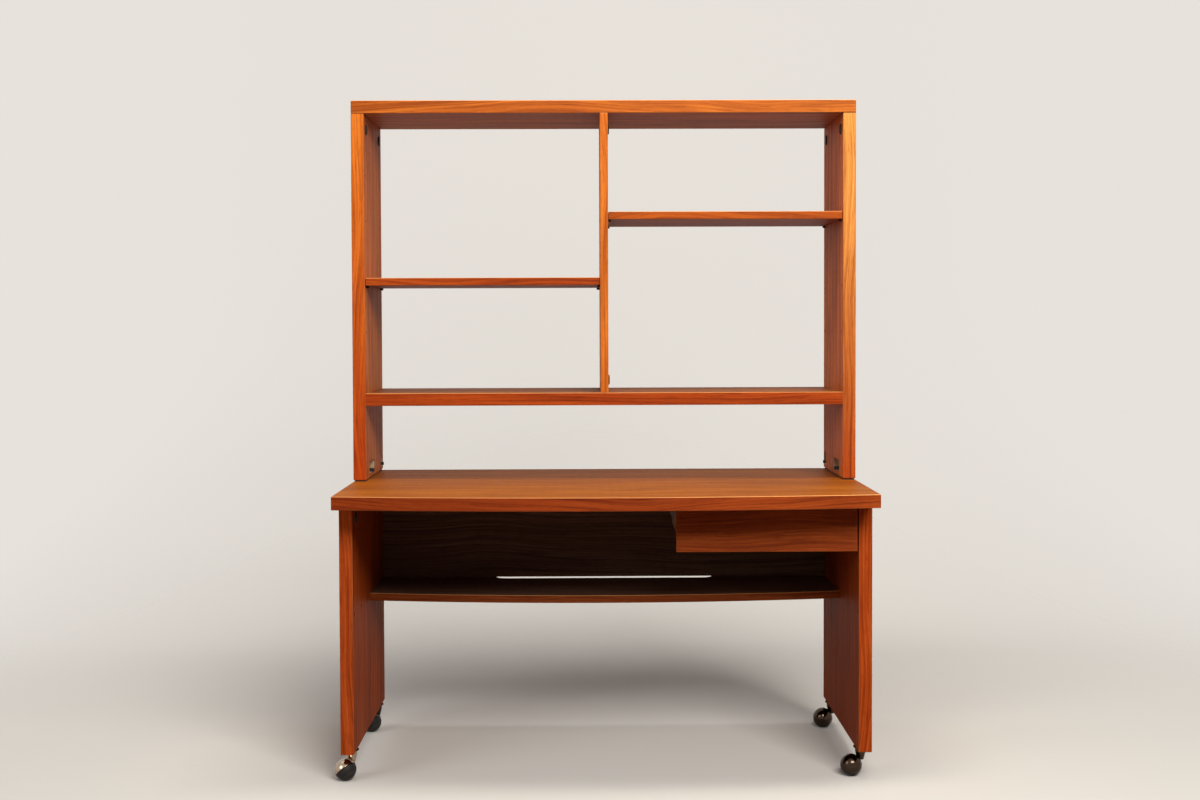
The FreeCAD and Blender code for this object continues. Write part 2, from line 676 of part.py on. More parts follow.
def hanger(name, side):
    """A pressed channel under the desktop that carries one drawer runner, with its flange bores."""
    start = "left_hanger" if side == LEFT else "right_hanger"

    def strip(part, low, width, height):
        x = start if side == LEFT else f"{start} - ({width})"
        return box(name + part, x, "hanger_front", low, width, "hanger_length", height)

    web = strip("_web", "top_under - hanger_height", "hanger_sheet", "hanger_height")
    flange = strip("_flange", "top_under - hanger_sheet", "hanger_flange", "hanger_sheet")
    ledge = strip("_ledge", "top_under - hanger_height", "hanger_sheet + hanger_ledge", "hanger_sheet")
    way = "+" if side == LEFT else "-"
    screws, bores = [], []
    x = f"{start} {way} hanger_screw_across"
    low = "top_under - hanger_sheet"
    head_low = f"{low} - screw_head_height"
    bore_length = "screw_grip + 2 * fit"
    for index in range(HANGER_SCREWS):
        y = f"hanger_front + hanger_screw_first + {index} * hanger_screw_pitch"
        tag = f"{name}_screw_{index}"
        head = prism(
            tag + "_head", BORE_SIDES, "screw_head_radius", "screw_head_height", "up", x, y, head_low
        )
        shank = prism(tag + "_shank", BOLT_SIDES, "screw_radius", "screw_grip", "up", x, y, low)
        bore = prism(tag + "_bore", BOLT_SIDES, "screw_radius + fit", bore_length, "up", x, y, f"{low} - fit")
        screws.append(fuse(tag, [head, shank]))
        bores.append(bore)
    node(cut(name, fuse(name + "_channel", [web, flange, ledge]), bores), name)
    return screws, bores


def drawer():
    """The drawer: front, sides, back, bottom and runners."""
    inner = "right_side - left_side - 2 * drawer_side_thick"
    back_y = "box_front + drawer_depth - drawer_side_thick"
    floor_low = "box_low + drawer_bottom_rise"
    floor_top = f"{floor_low} + drawer_bottom_thick"
    floor_x = "left_side + drawer_side_thick - groove_depth"
    floor_y = "box_front - groove_depth"
    floor_length = f"{inner} + 2 * groove_depth"
    floor_depth = "drawer_depth + groove_depth"
    floor = box(
        "drawer_bottom", floor_x, floor_y, floor_low, floor_length, floor_depth, "drawer_bottom_thick"
    )
    groove = box(
        "drawer_groove",
        f"{floor_x} - fit",
        f"{floor_y} - fit",
        f"{floor_low} - fit",
        f"{floor_length} + 2 * fit",
        f"{floor_depth} + board_thick",
        "drawer_bottom_thick + 2 * fit",
    )
    front_width = "drawer_right - drawer_left"
    front = board(
        "drawer_front", "drawer_left", "leg_front", "drawer_front_low",
        front_width, "drawer_front_thick", "drawer_front_height",
    )
    node(cut("drawer_front", front, [groove]), "drawer_front")
    sides = {"left": "left_side", "right": "right_side - drawer_side_thick"}
    for name, x in sides.items():
        label = f"drawer_{name}_side"
        blank = board(
            label, x, "box_front", "box_low", "drawer_side_thick", "drawer_depth", "drawer_side_height"
        )
        node(cut(label, blank, [groove]), label)
    back_height = "drawer_side_height - drawer_bottom_rise - drawer_bottom_thick - fit"
    back = board(
        "drawer_back", "left_side + drawer_side_thick", back_y, f"{floor_top} + fit",
        inner, "drawer_side_thick", back_height,
    )
    node(back, "drawer_back")
    node(floor, "drawer_bottom")
    runners = {"left": "left_runner", "right": "right_runner - runner_width"}
    runner_low = "ledge_top + ride_gap"
    for name, x in runners.items():
        label = f"drawer_{name}_runner"
        runner = board(
            label, x, "hanger_front", runner_low, "runner_width", "hanger_length", "runner_height"
        )
        node(runner, label)


def leg_parts(side):
    """Tools and loose pieces of one leg: cams, tongues, spare holes and caster sockets."""
    name = "left" if side == LEFT else "right"
    face = f"{sign(side)}(leg_inner)"
    cams = []
    for end, y in {"front": "leg_front + leg_cam_inset", "rear": "rear - leg_cam_inset"}.items():
        cams.append(cam(f"{name}_leg_{end}_cam", face, side, y, "top_under - cam_drop", "up"))
    shelf_tongues, panel_tongues = [], []
    for end in ("front", "rear"):
        y = f"rear - shelf_tongue_{end}"
        middle = "lower_shelf_low + thin_board / 2"
        shelf_tongues.append(tongue(f"{name}_{end}_shelf_tongue", face, y, middle))
    for end, z in {
        "low": "lower_shelf_top + panel_tongue_inset",
        "high": "top_under - panel_tongue_inset",
    }.items():
        y = "rear - panel_set_back - thin_board / 2"
        panel_tongues.append(tongue(f"{name}_{end}_panel_tongue", face, y, z, upright=True))
    spares = []
    for index in range(SPARE_HOLES):
        y = f"leg_front + spare_hole_front + {index} * spare_hole_pitch"
        tag = f"{name}_spare_{index}"
        way = outward(side)
        spares.append(rod(tag, "spare_hole_radius", "spare_hole_depth", way, face, y, "spare_hole_height"))
    return {"cams": cams, "shelf": shelf_tongues, "panel": panel_tongues, "spares": spares}


def stem_place(side, end):
    """Formulas for the place of one caster stem."""
    y = "leg_front + stem_end_inset" if end == "front" else "rear - stem_end_inset"
    return f"{sign(side)}(stem_x)", y


def socket(name, side, end):
    """The flanged sleeve in the leg that takes a caster stem, and its bore in the leg."""
    x, y = stem_place(side, end)
    low = "leg_low - flange_thick"
    flange = prism(name + "_flange", FLANGE_SIDES, "flange_radius", "flange_thick", "up", x, y, low)
    sleeve = prism(name + "_sleeve", BORE_SIDES, "socket_radius", "socket_rise", "up", x, y, "leg_low")
    depth = "flange_thick + stem_rise + axle_radius / 3"
    bore = rod(name + "_stem_bore", "stem_radius + stem_fit", depth, "up", x, y, low)
    leg_bore_rise = "socket_rise + 2 * fit"
    leg_bore = prism(
        name + "_leg_bore", BORE_SIDES, "socket_radius + fit", leg_bore_rise, "up", x, y, "leg_low - fit"
    )
    return cut(name, fuse(name + "_blank", [flange, sleeve]), [bore]), leg_bore


def desk():
    """Desktop, legs, lower shelf, back panel, drawer hangers and their fasteners."""
    feet = hutch_feet()
    left, right = leg_parts(LEFT), leg_parts(RIGHT)
    cams = left["cams"] + right["cams"]
    sockets = []
    for side, parts in ((LEFT, left), (RIGHT, right)):
        label = "left_leg" if side == LEFT else "right_leg"
        low = "-half_width" if side == LEFT else "leg_inner"
        blank = board(
            label, low, "leg_front", "leg_low", "board_thick", "leg_depth", "top_under - leg_low"
        )
        tools = [item[key] for item in parts["cams"] for key in ("bore", "pocket")]
        tools += [item["slot"] for item in parts["shelf"] + parts["panel"]]
        tools += parts["spares"]
        for end in ("front", "rear"):
            sleeve, leg_bore = socket(f"{label}_{end}_socket", side, end)
            sockets.append(sleeve)
            tools.append(leg_bore)
        node(cut(label, blank, tools), label)
    left_screws, left_bores = hanger("drawer_left_hanger", LEFT)
    right_screws, right_bores = hanger("drawer_right_hanger", RIGHT)
    top_guess = (size("desk_width"), size("desk_depth"), size("desk_bow"))
    top = bowed_board(
        "desktop", "desk_width", "desk_depth", "desk_bow", "top_under", "board_thick", top_guess
    )
    top_tools = [item["bore"] for item in cams + feet] + left_bores + right_bores
    node(cut("desktop", top, top_tools), "desktop")
    shelf_width = "2 * (leg_inner)"
    shelf_guess = (
        size("desk_width") - 2 * size("board_thick"), size("lower_shelf_depth"), size("lower_shelf_bow")
    )
    shelf = bowed_board(
        "lower_shelf", shelf_width, "lower_shelf_depth", "lower_shelf_bow", "lower_shelf_low", "thin_board",
        shelf_guess, gap=True,
    )
    shelf_slots = [item["slot"] for item in left["shelf"] + right["shelf"]]
    node(cut("lower_shelf", shelf, shelf_slots), "lower_shelf")
    panel = board(
        "back_panel", "-leg_inner", "rear - panel_set_back - thin_board", "lower_shelf_top",
        shelf_width, "thin_board", "top_under - lower_shelf_top",
    )
    panel_slots = [item["slot"] for item in left["panel"] + right["panel"]]
    node(cut("back_panel", panel, panel_slots), "back_panel")
    group("lower_shelf_tongues", [item["piece"] for item in left["shelf"] + right["shelf"]])
    group("back_panel_tongues", [item["piece"] for item in left["panel"] + right["panel"]])
    group("leg_cam_fittings", [item["fitting"] for item in cams])
    group("leg_cam_bolts", [item["bolt"] for item in cams])
    group("hanger_screws", left_screws + right_screws)
    group("caster_sockets", sockets)
    group("foot_bolts", [item["bolt"] for item in feet])
    group("foot_plates", [item["plate"] for item in feet])
    return feet


def hutch_feet():
    """Clamp bolts at the four feet of the shelf unit, left side first."""
    feet = []
    for side in (LEFT, RIGHT):
        for end in ("front", "rear"):
            tag = f"{'left' if side == LEFT else 'right'}_{end}_foot"
            feet.append(clamp(tag, side, f"{end}_pocket_back"))
    return feet


def pin_rows(name, face, side):
    """Shelf pin holes of one upright face at four heights, front and rear."""
    holes = []
    offsets = ("-pin_far_height", "-pin_near_height", "+pin_near_height", "+pin_far_height")
    for row, offset in enumerate(offsets):
        for end, y in {"front": "hutch_front + pin_inset", "rear": "rear - pin_inset"}.items():
            holes.append(
                prism(
                    f"{name}_hole_{row}_{end}", PIN_SIDES, "pin_radius + fit", "pin_hole_depth",
                    outward(side), face, y, f"bay_middle {offset}",
                )
            )
    return holes


def loose_shelf(label, low_x, width, row):
    """A loose shelf on four pins, at one of the pin rows."""
    top_of_pins = f"bay_middle {row} + pin_radius / cos({HALF_TURN} / {PIN_SIDES}) + fit / 3"
    shelf = board(
        label, low_x, "hutch_front + shelf_set_back", top_of_pins, width, "shelf_depth", "thin_board"
    )
    return node(shelf, label)


def shelf_pins(name, faces, row):
    """Four pins for one loose shelf. Each face is a formula with the side that its holes go into."""
    pins = []
    length = "pin_hole_depth - fit + pin_reach"
    for face, side in faces:
        for end, y in {"front": "hutch_front + pin_inset", "rear": "rear - pin_inset"}.items():
            start = f"{face} {'+' if side == RIGHT else '-'} (pin_hole_depth - fit)"
            pins.append(
                prism(
                    f"{name}_pin_{len(pins)}_{end}", PIN_SIDES, "pin_radius", length,
                    outward(-side), start, y, f"bay_middle {row}",
                )
            )
    return pins


def hutch(feet):
    """The open shelf unit: sides, top, fixed shelf, divider, loose shelves and fittings."""
    cams = {"left": [], "right": [], "divider_top": [], "divider_low": []}
    ends = {"front": "hutch_front + hutch_cam_inset", "rear": "rear - hutch_cam_inset"}
    for end, y in ends.items():
        high = "bay_high - cam_drop"
        for name, side in (("left", LEFT), ("right", RIGHT)):
            face = f"{sign(side)}(leg_inner)"
            cams[name].append(cam(f"hutch_{name}_{end}_cam", face, side, y, high, "up"))
        face = "divider_thick / 2"
        cams["divider_top"].append(cam(f"divider_top_{end}_cam", face, LEFT, y, high, "up"))
        low = "bay_low + divider_cam_rise"
        cams["divider_low"].append(cam(f"divider_low_{end}_cam", face, LEFT, y, low, "down"))
    all_cams = [item for items in cams.values() for item in items]
    tongues = {LEFT: [], RIGHT: []}
    for side in (LEFT, RIGHT):
        for end, y in {
            "front": "hutch_front + hutch_tongue_inset",
            "rear": "rear - hutch_tongue_inset",
        }.items():
            tag = f"hutch_{outward(side)}_{end}_tongue"
            middle = "fixed_shelf_low + board_thick / 2"
            tongues[side].append(tongue(tag, f"{sign(side)}(leg_inner)", y, middle))
    strips = []
    for side, own_feet in ((LEFT, feet[:2]), (RIGHT, feet[2:])):
        name = outward(side)
        label = f"hutch_{name}_side"
        low = "-half_width" if side == LEFT else "leg_inner"
        face = f"{sign(side)}(leg_inner)"
        blank = board(
            label, low, "hutch_front", "hutch_foot", "board_thick", "hutch_depth", "bay_high - hutch_foot"
        )
        tools = [item[key] for item in cams[name] for key in ("bore", "pocket")]
        tools += [item["slot"] for item in tongues[side]]
        tools += [item["bore"] for item in own_feet]
        tools += pin_rows(label, face, side)
        for end in ("front", "rear"):
            tag = f"{label}_{end}_pocket"
            tools.append(rounded_pocket(tag, side, f"{end}_pocket_back", f"{end}_pocket_width"))
        node(cut(label, blank, tools), label)
        strip = box(
            f"{label}_strip_blank", f"{low} + strip_inset", "hutch_front + strip_inset", "desk_height",
            "board_thick - 2 * strip_inset", "hutch_depth - 2 * strip_inset", "strip_thick",
        )
        strips.append(cut(f"{label}_strip", strip, [item["bore"] for item in own_feet]))
    top = board(
        "hutch_top", "-half_width", "hutch_front", "bay_high", "desk_width", "hutch_depth", "board_thick"
    )
    top_cams = cams["left"] + cams["right"] + cams["divider_top"]
    node(cut("hutch_top", top, [item["bore"] for item in top_cams]), "hutch_top")
    fixed = board(
        "hutch_fixed_shelf", "-leg_inner", "hutch_front", "fixed_shelf_low",
        "2 * (leg_inner)", "hutch_depth", "board_thick",
    )
    fixed_tools = [item["slot"] for item in tongues[LEFT] + tongues[RIGHT]]
    fixed_tools += [item["bore"] for item in cams["divider_low"]]
    node(cut("hutch_fixed_shelf", fixed, fixed_tools), "hutch_fixed_shelf")
    divider = board(
        "hutch_divider", "-divider_thick / 2", "hutch_front", "bay_low",
        "divider_thick", "hutch_depth", "bay_high - bay_low",
    )
    divider_cams = cams["divider_top"] + cams["divider_low"]
    divider_tools = [item[key] for item in divider_cams for key in ("bore", "pocket")]
    divider_tools += pin_rows("hutch_divider_left", "-divider_thick / 2", RIGHT)
    divider_tools += pin_rows("hutch_divider_right", "divider_thick / 2", LEFT)
    node(cut("hutch_divider", divider, divider_tools), "hutch_divider")
    width = "leg_inner - divider_thick / 2 - 2 * shelf_play"
    loose_shelf("hutch_left_shelf", "-leg_inner + shelf_play", width, "- pin_near_height")
    loose_shelf("hutch_right_shelf", "divider_thick / 2 + shelf_play", width, "+ pin_near_height")
    left_faces = (("-(leg_inner)", LEFT), ("-divider_thick / 2", RIGHT))
    right_faces = (("divider_thick / 2", LEFT), ("leg_inner", RIGHT))
    pins = shelf_pins("left_shelf", left_faces, "- pin_near_height")
    pins += shelf_pins("right_shelf", right_faces, "+ pin_near_height")
    group("hutch_shelf_pins", pins)
    group("hutch_foot_strips", strips)
    group("hutch_tongues", [item["piece"] for item in tongues[LEFT] + tongues[RIGHT]])
    group("hutch_cam_fittings", [item["fitting"] for item in all_cams])
    group("hutch_cam_bolts", [item["bolt"] for item in all_cams])


def casters():
    """The four ball casters. The two on the left are mirrored."""
    for side, name in ((LEFT, "left"), (RIGHT, "right")):
        for end in ("front", "rear"):
            x, y = stem_place(side, end)
            caster(f"caster_{end}_{name}", side, x, y, f"{end}_{name}_turn")


feet_of_hutch = desk()
drawer()
hutch(feet_of_hutch)
casters()
doc.recompute()

for item in doc.Objects:
    if "Invalid" in item.State or "Error" in item.State:
        raise RuntimeError(f"{item.Name} has state {item.State}")
for item in nodes:
    if item.Shape.isNull() or not item.Shape.isValid():
        raise RuntimeError(f"{item.Label} has no valid shape")

os.makedirs("parts", exist_ok=True)
for item in nodes:
    item.Shape.exportStep(f"parts/{item.Label}.step")
    print(item.Label, len(item.Shape.Solids), "solids", round(item.Shape.Volume), "mm3")
print(len(nodes), "nodes")
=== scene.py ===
# %% [markdown]
# # A teak desk with shelves on ball casters
#
# The real thing is a flat-packed writing desk of veneered board. Two panel legs carry a bowed desktop, an
# open shelf unit stands on it, a drawer hangs under it and four ball casters let it roll. The solids come
# from the CAD model and already have the right sizes, so this lesson is about what light meets: the veneer,
# the chrome, the rubber, the pressed steel and the small dark fittings.
#
# The first cell loads the solids and gives a way to measure the box that each of them fills. Nothing may
# grow out of that box.

# %% Load the desk
import json
import math
import bpy
from mathutils import Matrix, Vector


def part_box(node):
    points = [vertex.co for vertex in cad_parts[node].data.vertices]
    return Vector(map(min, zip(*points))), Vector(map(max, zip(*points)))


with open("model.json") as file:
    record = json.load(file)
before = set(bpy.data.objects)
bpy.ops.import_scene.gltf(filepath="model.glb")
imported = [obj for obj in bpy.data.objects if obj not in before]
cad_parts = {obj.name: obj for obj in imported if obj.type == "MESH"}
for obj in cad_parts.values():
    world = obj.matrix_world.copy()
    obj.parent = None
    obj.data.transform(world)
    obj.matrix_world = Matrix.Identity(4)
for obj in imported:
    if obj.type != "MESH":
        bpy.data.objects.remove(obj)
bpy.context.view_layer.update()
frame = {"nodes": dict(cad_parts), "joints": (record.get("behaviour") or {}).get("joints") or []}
nodes = frame["nodes"]

# %% [markdown]
# ## Writing shader maths as Python
#
# A finish is a small graph of nodes. Wiring it by hand hides the idea, so a socket is wrapped in a class
# whose operators add Math nodes. Then `1 - mask` or `a * 0.4 + b` reads like the sum that it is. Every other
# kind of node comes from one method, `node`, which sets the node up first and then fills its sockets.

# %% A socket that can be calculated with
class Value:
    """One output of a node. Arithmetic on it adds Math nodes to the same graph."""

    def __init__(self, graph, socket):
        self.graph = graph
        self.socket = socket

    def math(self, operation, *others, clamp=False):
        links = dict(enumerate((self, *others)))
        return self.graph.node("ShaderNodeMath", {"operation": operation, "use_clamp": clamp}, links)

    def __add__(self, other):
        return self.math("ADD", other)

    def __mul__(self, other):
        return self.math("MULTIPLY", other)

    def __sub__(self, other):
        return self.math("SUBTRACT", other)

    def __rsub__(self, other):
        return (self * -1) + other

    __radd__ = __add__
    __rmul__ = __mul__

    def size(self):
        return self.math("ABSOLUTE")

    def above(self, edge, soft):
        """0 below the edge and 1 above it, with a soft step between."""
        return ((self - (edge - soft)) * (0.5 / soft)).math("ADD", 0, clamp=True)


class Graph:
    """Nodes that are wired by filling their sockets."""

    def __init__(self, tree):
        self.tree = tree

    def node(self, kind, settings=None, links=None, out=0):
        made = self.tree.nodes.new(kind)
        for key, value in (settings or {}).items():
            if key == "stops":
                set_stops(made.color_ramp, value)
            else:
                setattr(made, key, value)
        for key, value in (links or {}).items():
            self.fill(made.inputs[key], value)
        return Value(self, made.outputs[out])

    def fill(self, socket, value):
        if isinstance(value, Value):
            self.tree.links.new(value.socket, socket)
        else:
            socket.default_value = value

    def vector(self, operation, *inputs, out=0):
        return self.node("ShaderNodeVectorMath", {"operation": operation}, dict(enumerate(inputs)), out)

    def split(self, vector):
        return [self.node("ShaderNodeSeparateXYZ", None, {0: vector}, out=i) for i in range(3)]

    def join(self, x, y, z):
        return self.node("ShaderNodeCombineXYZ", None, {0: x, 1: y, 2: z})

    def shown(self):
        """1 for what is looked at, straight, in a mirror or through glass, and 0 for passed-on light."""
        kinds = ("Is Camera Ray", "Is Glossy Ray", "Is Transmission Ray")
        camera, gloss, clear = [self.node("ShaderNodeLightPath", out=kind) for kind in kinds]
        return (camera + gloss + clear).math("MINIMUM", 1.0)


def set_stops(ramp, stops):
    while len(ramp.elements) < len(stops):
        ramp.elements.new(0.5)
    for element, (position, color) in zip(ramp.elements, stops):
        element.position = position
        element.color = (*color, 1.0)


print("sockets can be added and multiplied")

# %% A material under construction
# A Mix node has one set of sockets for each kind of value, all with the same names, so they go by number.
COLOR_MIX, MIXED_COLOR = (0, 6, 7), 2
VECTOR_MIX, MIXED_VECTOR = (0, 4, 5), 1


class Finish(Graph):
    """A graph that ends in the main shader of a new material."""

    def __init__(self, name):
        self.material = bpy.data.materials.new(name)
        self.material.use_nodes = True
        super().__init__(self.material.node_tree)
        self.shader = self.tree.nodes["Principled BSDF"]

    def set(self, **sockets):
        """Fill sockets of the main shader. An underscore stands for a space."""
        for key, value in sockets.items():
            self.fill(self.shader.inputs[key.replace("_", " ")], value)

    def base_color(self):
        """The colour so far, for a finish that gets something on top."""
        return Value(self, self.shader.inputs["Base Color"].links[0].from_socket)

    def mix(self, mask, low, high, how="MIX"):
        settings = {"data_type": "RGBA", "blend_type": how}
        links = dict(zip(COLOR_MIX, (mask, low, high)))
        return self.node("ShaderNodeMix", settings, links, out=MIXED_COLOR)

    def blend(self, mask, low, high):
        """A colour that goes from low to high with the mask."""
        return self.mix(mask, low, high)

    def tint(self, mask, low, high):
        """A colour multiplied by another one where the mask is set."""
        return self.mix(mask, low, high, "MULTIPLY")

    def noise(self, place, scale, detail, roughness=0.5, distortion=0.0):
        links = {"Vector": place, "Scale": scale, "Detail": detail, "Roughness": roughness,
                 "Distortion": distortion}
        return self.node("ShaderNodeTexNoise", None, links)

    def bump(self, height, strength, distance):
        links = {"Height": height, "Strength": strength, "Distance": distance}
        self.set(Normal=self.node("ShaderNodeBump", None, links))

    def place(self):
        """Where a point is on the desk, and the three numbers of it."""
        here = self.node("ShaderNodeTexCoord", out="Object")
        return here, self.split(here)

    def facing(self):
        """The way that a surface faces, as three numbers."""
        return self.split(self.node("ShaderNodeTexCoord", out="Normal"))


print("finishes can be mixed")

# %% [markdown]
# ## Teak veneer
#
# Every large board is chipboard under a sheet of teak veneer, with a strip of the same wood glued round its
# edges. A picture of teak could be wrapped round each board, but a picture has seams and one size. Here each
# mark of the wood is noise that is stretched along the grain: broad bands, streaks, fine fibres, short dark
# flecks and pores, and a slow change of tone. Growth rings are the thin lines where one such noise crosses
# its middle value. A slow sway bends all of them together, which gives the long flames of a sliced log.
#
# The grain of a leg stands upright and the grain of a shelf lies, so the finish takes the direction as a
# letter. At the ends of a board the strip is laid across, so the grain turns there. The chamfers get a
# painted
# highlight: they are painted lighter, most of all those that look up, where light from above catches them.

# %% Where a point lies on its board
AXES = "XYZ"
NEXT_BOARD = 1.7
# Limits for the way that a face looks, each with the softness of its step.
FLAT, STRIP, CHAMFER = (0.7, 0.1), (0.6, 0.1), (0.12, 0.06)


def grain_place(finish, along, shift):
    """A place with its first number along the grain and its second across it, in the face that is seen."""
    _, spot = finish.place()
    face = finish.facing()
    flat = [value.size().above(*FLAT) for value in face]
    length = AXES.index(along)
    first, second = [axis for axis in range(3) if axis != length]
    end = flat[length]
    end_across = spot[0 if along == "Z" else 2]
    run = spot[length] * (1 - end) + spot[1] * end
    across = spot[first] * (1 - flat[first]) + spot[second] * (1 - flat[second])
    across = across * (1 - end) + end_across * end
    return finish.join(run + shift, across + shift * NEXT_BOARD, 0.0), face


def strip_mask(face, along):
    """1 on the front, the back and the two ends of a board, where shelves and uprights have the glued strip.

    The back panel and the drawer front turn a broad face there, so their two tones are nearly the same.
    """
    return face[1].size().math("MAXIMUM", face[AXES.index(along)].size()).above(*STRIP)


def edge_mask(face):
    """1 where a face looks in two directions at once: on chamfers, where it sets a painted highlight, and in
    holes, which get a painted shade later.
    """
    largest = face[0].size().math("MAXIMUM", face[1].size()).math("MAXIMUM", face[2].size())
    return (1 - largest).above(*CHAMFER)


print("places along the grain")

# %% The marks of teak
TEAK = [
    (0.16, (0.170, 0.029, 0.0040)),
    (0.42, (0.360, 0.076, 0.0090)),
    (0.58, (0.470, 0.110, 0.0135)),
    (0.84, (0.640, 0.185, 0.0260)),
]
# Marks per metre along the grain and across it, then the detail, roughness and distortion of the noise.
MARKS = {
    "sway": (1.7, 2.0, 1.0),
    "figure": (0.75, 6.5, 2.0, 0.5, 0.35),
    "band": (0.8, 34, 2.0),
    "streak": (1.7, 150, 2.0, 0.6, 0.3),
    "fibre": (6.0, 520, 3.0, 0.6),
    "fleck": (17, 330, 1.0),
    "pore": (42, 1500, 1.0),
    "tone": (0.5, 2.2, 1.0),
    "ring": (1.0, 46, 1.0),
    "pale streak": (1.4, 80, 4.0, 0.6),
    "pale fibre": (9.0, 600, 2.0),
}
SWAY, FLAMES, MIDDLE_VALUE = 0.11, 46, 0.5
# How much each mark lightens the wood, and what is taken off all of it.
LEAF_SHARE, BAND_SHARE, STREAK_SHARE = 0.10, 0.30, 0.85
FIBRE_SHARE, TONE_SHARE, TAKEN_OFF = 0.30, 0.36, 0.455
# Where flecks and pores begin and how wide rings are, each with the softness of its edge.
FLECKS, PORES, RINGS = (0.63, 0.05), (0.66, 0.05), (0.022, 0.018)
RING_TINT, FLECK_TINT, PORE_TINT = (0.56, 0.45, 0.38, 1), (0.52, 0.42, 0.36, 1), (0.30, 0.22, 0.17, 1)
RING_SHARE, FLECK_SHARE, PORE_SHARE = 0.6, 0.5, 0.55
# The next line holds the painted highlight of the chamfers: its colour, its strength on all of them and its
# extra strength on those that look up.
CHAMFER_HIGHLIGHT, CHAMFER_HIGHLIGHT_ALL, CHAMFER_HIGHLIGHT_TOP, LOOKS_UP = (0.80, 0.37, 0.13, 1), 0.15, 0.5, (0.4, 0.2)
SHEEN, LEG_SHEEN = 0.09, 0.04
TEAK_ROUGH, FIBRE_ROUGH, PORE_ROUGH = 0.48, 0.16, 0.2
FIBRE_HEIGHT, STREAK_HEIGHT, PORE_DEPTH = 0.6, 0.4, 0.8
# Strength and height of the bumps.
TEAK_RELIEF = 0.10, 0.0006


def marks(finish, place, kind):
    along, across, *character = MARKS[kind]
    stretched = finish.vector("MULTIPLY", place, (along, across, across))
    return finish.noise(stretched, 1.0, *character)


def teak(name, along, shift, face_tone_and_light, strip_tone_and_light, sheen=SHEEN):
    finish = Finish(name)
    place, face = grain_place(finish, along, shift)
    sway = marks(finish, place, "sway") * SWAY
    place = finish.vector("ADD", place, finish.join(0.0, sway, 0.0))
    leaf = (marks(finish, place, "figure") * FLAMES).math("SINE") * 0.5 + 0.5
    band = marks(finish, place, "band")
    streak = marks(finish, place, "streak")
    fibre = marks(finish, place, "fibre")
    fleck = marks(finish, place, "fleck").above(*FLECKS)
    pore = marks(finish, place, "pore").above(*PORES)
    ring = 1 - (marks(finish, place, "ring") - MIDDLE_VALUE).size().above(*RINGS)
    level = leaf * LEAF_SHARE + band * BAND_SHARE + streak * STREAK_SHARE + fibre * FIBRE_SHARE
    level = level + marks(finish, place, "tone") * TONE_SHARE - TAKEN_OFF
    color = finish.node("ShaderNodeValToRGB", {"stops": TEAK}, {0: level})
    color = finish.tint(ring * RING_SHARE, color, RING_TINT)
    color = finish.tint(fleck * FLECK_SHARE, color, FLECK_TINT)
    color = finish.tint(pore * PORE_SHARE, color, PORE_TINT)
    # The face and strip tones carry painted light and shade as well as the board's own colour.
    tone = finish.blend(strip_mask(face, along), (*face_tone_and_light, 1), (*strip_tone_and_light, 1))
    color = finish.tint(1.0, color, tone)
    # Painted highlight: chamfers are painted lighter, most of all those that look up.
    painted_highlight = edge_mask(face) * (face[2].above(*LOOKS_UP) * CHAMFER_HIGHLIGHT_TOP + CHAMFER_HIGHLIGHT_ALL)
    finish.set(Base_Color=finish.blend(painted_highlight, color, CHAMFER_HIGHLIGHT), Specular_IOR_Level=sheen)
    finish.set(Roughness=TEAK_ROUGH + fibre * FIBRE_ROUGH + pore * PORE_ROUGH)
    height = fibre * FIBRE_HEIGHT + streak * STREAK_HEIGHT - pore * PORE_DEPTH
    finish.bump(height, *TEAK_RELIEF)
    return finish


print(len(MARKS), "kinds of marks")

# %% [markdown]
# ## Thirteen boards
#
# No two boards come from the same place in the log. One finish for all would show the same streaks again and
# again, so each board has its own shift through the noise, a tone for its faces and one for its edge strip.
# The tones multiply the colour and hold painted light and shade as well as each board's own colour: the
# desktop is a little golden and the legs are redder; the back panel and the lower shelf under the desktop are
# a dull brown, a painted shade with a bluish painted reflection; the right side and the top of the shelf unit
# are painted the lightest, where the light falls most.

# %% One finish for each board
# Way of the grain, shift, tone of the faces, tone of the strip and, for the legs, the sheen. The tones hold
# painted light and shade as well as each board's own colour.
BOARDS = {
    "desktop": ("X", 0.0, (0.80, 0.95, 0.50), (0.61, 0.40, 0.42)),
    "left_leg": ("Z", 3.1, (0.82, 0.62, 0.80), (0.98, 0.69, 0.80), LEG_SHEEN),
    "right_leg": ("Z", 5.7, (0.75, 0.57, 0.80), (0.96, 0.65, 0.75), LEG_SHEEN),
    "back_panel": ("X", 8.2, (0.40, 0.86, 4.60), (0.39, 0.90, 4.80)),
    "lower_shelf": ("X", 10.4, (0.34, 0.78, 4.20), (0.53, 0.49, 0.80)),
    "drawer_front": ("X", 12.9, (0.76, 0.62, 0.84), (0.76, 0.62, 0.84)),
    "hutch_top": ("X", 16.3, (1.34, 1.75, 2.10), (0.94, 0.95, 0.76)),
    "hutch_fixed_shelf": ("X", 18.8, (0.58, 0.70, 0.74), (0.86, 0.54, 0.42)),
    "hutch_divider": ("Z", 21.5, (0.95, 0.92, 0.80), (1.20, 1.26, 0.98)),
    "hutch_left_shelf": ("X", 24.1, (0.82, 0.78, 0.72), (0.77, 0.49, 0.37)),
    "hutch_right_shelf": ("X", 27.7, (0.82, 0.76, 0.68), (0.94, 0.79, 0.48)),
    "hutch_left_side": ("Z", 30.2, (1.10, 1.16, 0.95), (1.13, 0.96, 0.62)),
    "hutch_right_side": ("Z", 33.9, (1.62, 1.62, 1.15), (1.32, 1.66, 2.20)),
}
wood = {board: teak("teak_" + board, *how) for board, how in BOARDS.items()}
print(len(wood), "boards of teak")
